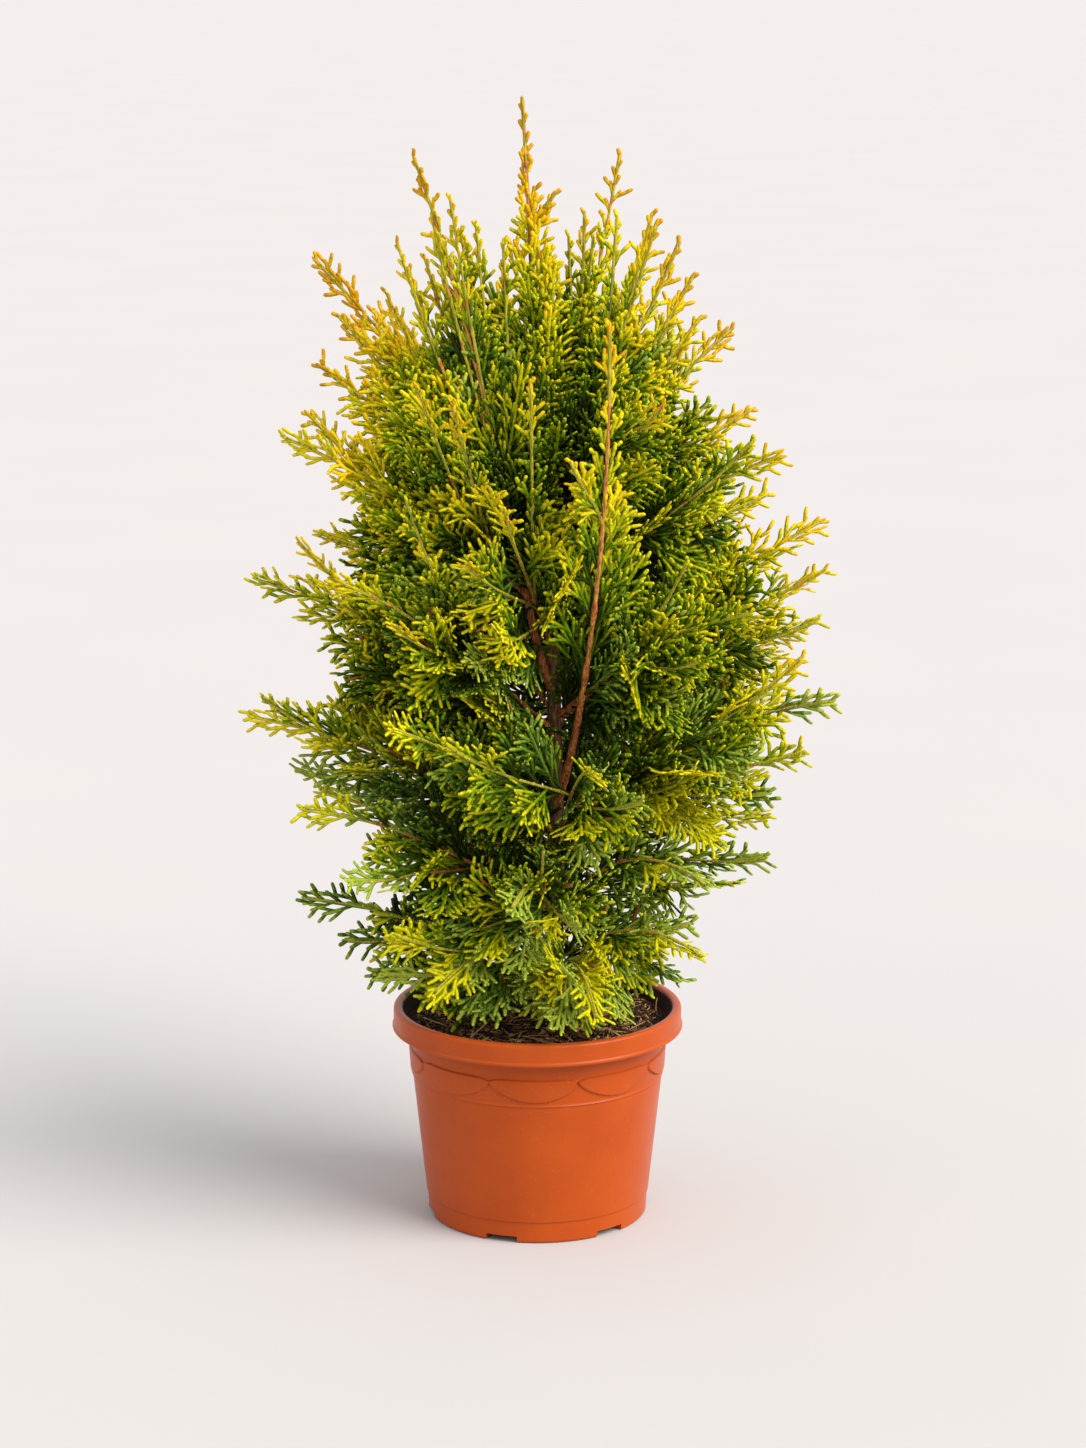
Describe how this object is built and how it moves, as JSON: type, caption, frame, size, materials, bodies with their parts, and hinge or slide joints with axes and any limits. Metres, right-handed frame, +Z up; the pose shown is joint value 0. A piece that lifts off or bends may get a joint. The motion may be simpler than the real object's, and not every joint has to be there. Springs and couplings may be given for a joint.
{
  "type": "potted arborvitae",
  "caption": "Young golden-tipped eastern arborvitae shrub, an egg-shaped crown of flat fern-like sprays on one trunk, growing in a round plastic nursery pot.",
  "frame": {"origin": "centre of the pot's flat underside, where it stands", "axes": "+Z up along the trunk, -Y the plant's front as pictured, +X to its right"},
  "size_m": [0.3772, 0.3057, 0.727],
  "materials": {
    "pot": "matte terracotta-orange moulded plastic",
    "soil": "dark bark and peat potting soil",
    "bark": "stringy red-brown bark",
    "foliage": "scale-leaved sprays, deep green inside to lime and gold at the tips"
  },
  "bodies": {
    "root": {"bough_high_back": "bark", "bough_high_front": "bark", "bough_high_left": "bark", "bough_high_right": "bark", "bough_leader_front_right": "bark", "bough_leader_inner_right": "bark", "bough_leader_left": "bark", "bough_leader_outer_left": "bark", "bough_leader_right": "bark", "bough_middle_back_left": "bark", "bough_middle_back_right": "bark", "bough_middle_front": "bark", "bough_middle_front_left": "bark", "bough_middle_left": "bark", "bough_middle_right": "bark", "bough_upper_back_left": "bark", "bough_upper_back_right": "bark", "bough_upper_front_left": "bark", "bough_upper_front_right": "bark", "bough_upper_left": "bark", "bough_upper_right": "bark", "foliage_high_back": "foliage", "foliage_high_front": "foliage", "foliage_high_left": "foliage", "foliage_high_right": "foliage", "foliage_leader_back": "foliage", "foliage_leader_front_right": "foliage", "foliage_leader_inner_right": "foliage", "foliage_leader_left": "foliage", "foliage_leader_outer_left": "foliage", "foliage_leader_outer_right": "foliage", "foliage_leader_right": "foliage", "foliage_lower_back": "foliage", "foliage_lower_back_left": "foliage", "foliage_lower_front": "foliage", "foliage_lower_front_left": "foliage", "foliage_lower_front_right": "foliage", "foliage_lower_right": "foliage", "foliage_middle_back_left": "foliage", "foliage_middle_back_right": "foliage", "foliage_middle_front": "foliage", "foliage_middle_front_left": "foliage", "foliage_middle_left": "foliage", "foliage_middle_right": "foliage", "foliage_skirt_back": "foliage", "foliage_skirt_back_right": "foliage", "foliage_skirt_front": "foliage", "foliage_skirt_front_left": "foliage", "foliage_skirt_front_right": "foliage", "foliage_skirt_left": "foliage", "foliage_top": "foliage", "foliage_upper_back_left": "foliage", "foliage_upper_back_right": "foliage", "foliage_upper_front_left": "foliage", "foliage_upper_front_right": "foliage", "foliage_upper_left": "foliage", "foliage_upper_right": "foliage", "pot": "pot", "soil": "soil", "trunk": "bark"}
  },
  "joints": []
}
